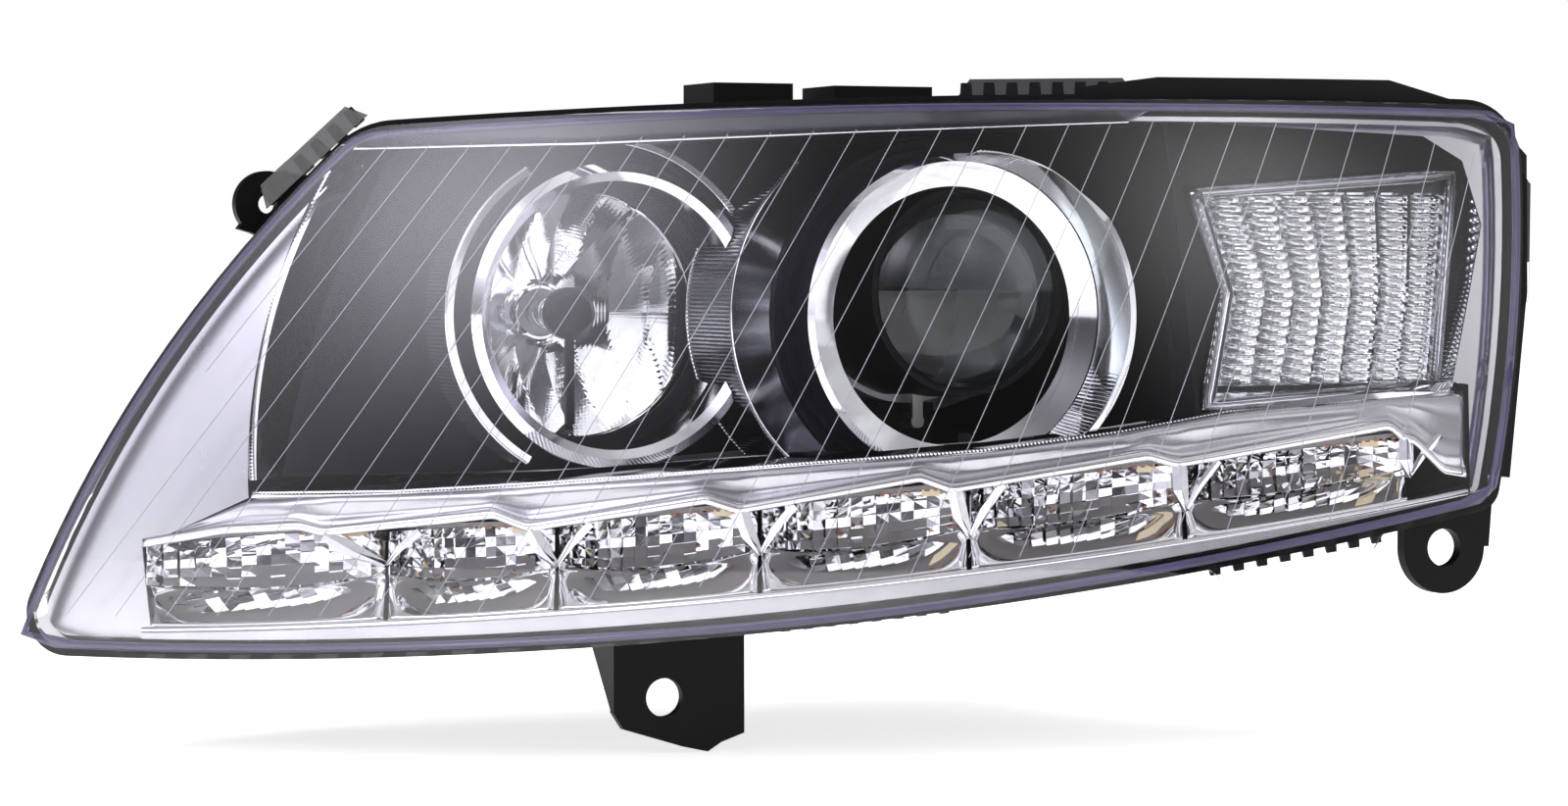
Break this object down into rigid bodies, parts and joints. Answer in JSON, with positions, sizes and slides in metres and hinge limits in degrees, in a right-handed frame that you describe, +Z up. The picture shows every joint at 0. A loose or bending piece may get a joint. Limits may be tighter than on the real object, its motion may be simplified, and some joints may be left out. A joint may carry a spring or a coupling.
{
  "type": "car headlight assembly",
  "caption": "Wrap-round car headlight: clear domed lens over a projector unit, a high-beam bowl, a turn signal and a scalloped row of daytime lights, in a black housing with bolt lugs.",
  "frame": {"origin": "centre of the lower bracket's bolt hole", "axes": "+X inboard across the car, +Y back into the car, -Y along the beams, +Z up"},
  "size_m": [0.5353, 0.2924, 0.2442],
  "materials": {
    "clear_polycarbonate": "hard-coated, clear, with a faint violet edge",
    "optical_glass": "polished",
    "bulb_glass": "polished",
    "black_moulding": "moulded, fine grain",
    "mask_black": "satin black",
    "seal_rubber": "matte",
    "satin_metallised": "satin metallised plastic",
    "bright_metallised": "mirror metallised plastic",
    "reflector_metallised": "mirror metallised bowl",
    "ring_chrome": "bright",
    "dark_chrome": "smoked",
    "painted_steel": "black paint",
    "screw_steel": "zinc plated",
    "cast_aluminium": "as cast",
    "grey_plastic": "moulded",
    "white_plastic": "moulded",
    "ceramic_base": "matte",
    "spring_steel": "drawn wire",
    "circuit_board": "brown solder mask",
    "led_phosphor": "warm white phosphor"
  },
  "bodies": {
    "housing_body": {"drl_brow": "satin_metallised", "drl_circuit_board": "circuit_board", "drl_leds": "led_phosphor", "drl_reflector": "reflector_metallised", "high_beam_collar": "ring_chrome", "high_beam_cuff": "ring_chrome", "high_beam_ring": "ring_chrome", "high_beam_sleeve": "bright_metallised", "housing": "black_moulding", "inboard_foot": "black_moulding", "inner_mask": "mask_black", "lens_cover": "clear_polycarbonate", "lens_seal": "seal_rubber", "levelling_motor": "black_moulding", "lower_bracket": "painted_steel", "lower_trim": "satin_metallised", "mounting_screws": "screw_steel", "outboard_flute": "bright_metallised", "outboard_lug": "black_moulding", "pivot_stud": "white_plastic", "projector_collar": "ring_chrome", "projector_cuff": "dark_chrome", "projector_ring": "ring_chrome", "projector_sleeve": "mask_black", "roof_ledge": "black_moulding", "shelf": "bright_metallised", "side_panel": "satin_metallised", "turn_signal_optic": "clear_polycarbonate", "turn_signal_reflector": "reflector_metallised", "upper_trim": "bright_metallised", "vent_caps": "seal_rubber", "wiring_connector": "black_moulding", "xenon_ballast": "cast_aluminium"},
    "aim_pivot": {"pivot_bush": "white_plastic"},
    "beam_carrier": {"carrier_frame": "grey_plastic", "projector_glass": "optical_glass", "projector_glass_holder": "black_moulding", "projector_reflector": "cast_aluminium", "shutter_solenoid": "painted_steel", "xenon_bulb_glass": "bulb_glass", "xenon_bulb_base": "ceramic_base", "high_beam_reflector": "reflector_metallised", "high_beam_bulb_glass": "bulb_glass", "high_beam_bulb_base": "cast_aluminium", "bulb_shield": "mask_black"},
    "shutter": {"dip_shutter": "painted_steel"},
    "shutter_plunger": {"solenoid_plunger": "screw_steel"},
    "lock_ring": {"bulb_lock_ring": "grey_plastic"},
    "bulb_clip": {"bulb_retaining_clip": "spring_steel"},
    "levelling_rod": {"levelling_plunger": "white_plastic"},
    "aiming_rod": {"horizontal_adjuster_rod": "white_plastic"},
    "aiming_wheel": {"horizontal_adjuster_wheel": "white_plastic"},
    "low_cap": {"low_beam_cap": "black_moulding", "low_beam_cap_seal": "seal_rubber"},
    "high_cap": {"high_beam_cap": "black_moulding", "high_beam_cap_seal": "seal_rubber"},
    "turn_holder": {"turn_bulb_holder": "grey_plastic", "turn_signal_bulb": "bulb_glass"}
  },
  "joints": [
    {"name": "aim_horizontal", "type": "hinge", "parent": "housing_body", "child": "aim_pivot", "pos_m": [0.03, 0.04, 0.19], "axis": [0, 0, 1], "range_deg": [-1.5, 1.5]},
    {"name": "aim_vertical", "type": "hinge", "parent": "aim_pivot", "child": "beam_carrier", "pos_m": [0.03, 0.04, 0.19], "axis": [1, 0, 0], "range_deg": [-1.5, 2.5]},
    {"name": "shutter_tilt", "type": "hinge", "parent": "beam_carrier", "child": "shutter", "pos_m": [0.093, -0.014, 0.121], "axis": [1, 0, 0], "range_deg": [0, 30]},
    {"name": "solenoid_travel", "type": "slide", "parent": "beam_carrier", "child": "shutter_plunger", "axis": [0, 1, 0], "range_m": [0, 0.0058]},
    {"name": "lock_ring_turn", "type": "hinge", "parent": "beam_carrier", "child": "lock_ring", "pos_m": [0.093, 0.052, 0.1465], "axis": [0, 1, 0], "range_deg": [0, 25]},
    {"name": "bulb_clip_swing", "type": "hinge", "parent": "beam_carrier", "child": "bulb_clip", "pos_m": [-0.046, 0.0715, 0.138], "axis": [0, 0, 1], "range_deg": [0, 100]},
    {"name": "levelling_travel", "type": "slide", "parent": "housing_body", "child": "levelling_rod", "axis": [0, 1, 0], "range_m": [-0.0027, 0.0044]},
    {"name": "aiming_travel", "type": "slide", "parent": "housing_body", "child": "aiming_rod", "axis": [0, 1, 0], "range_m": [-0.003, 0.003]},
    {"name": "aiming_wheel_turn", "type": "hinge", "parent": "housing_body", "child": "aiming_wheel", "pos_m": [0.142, 0.137, 0.19], "axis": [0, 1, 0], "range_deg": [-180, 180]},
    {"name": "low_cap_twist", "type": "hinge", "parent": "housing_body", "child": "low_cap", "pos_m": [0.093, 0.146, 0.1465], "axis": [0, 1, 0], "range_deg": [0, 45]},
    {"name": "high_cap_twist", "type": "hinge", "parent": "housing_body", "child": "high_cap", "pos_m": [-0.024, 0.146, 0.138], "axis": [0, 1, 0], "range_deg": [0, 45]},
    {"name": "turn_holder_twist", "type": "hinge", "parent": "housing_body", "child": "turn_holder", "pos_m": [0.228, 0.012, 0.147], "axis": [0, 1, 0], "range_deg": [0, 45]}
  ],
  "couplings": [
    {"joint": "levelling_travel", "follows": "aim_vertical", "m_per_rad": 0.098},
    {"joint": "aiming_travel", "follows": "aim_horizontal", "m_per_rad": 0.112},
    {"joint": "aiming_wheel_turn", "follows": "aim_horizontal", "ratio": 117.29},
    {"joint": "solenoid_travel", "follows": "shutter_tilt", "m_per_rad": 0.011}
  ]
}
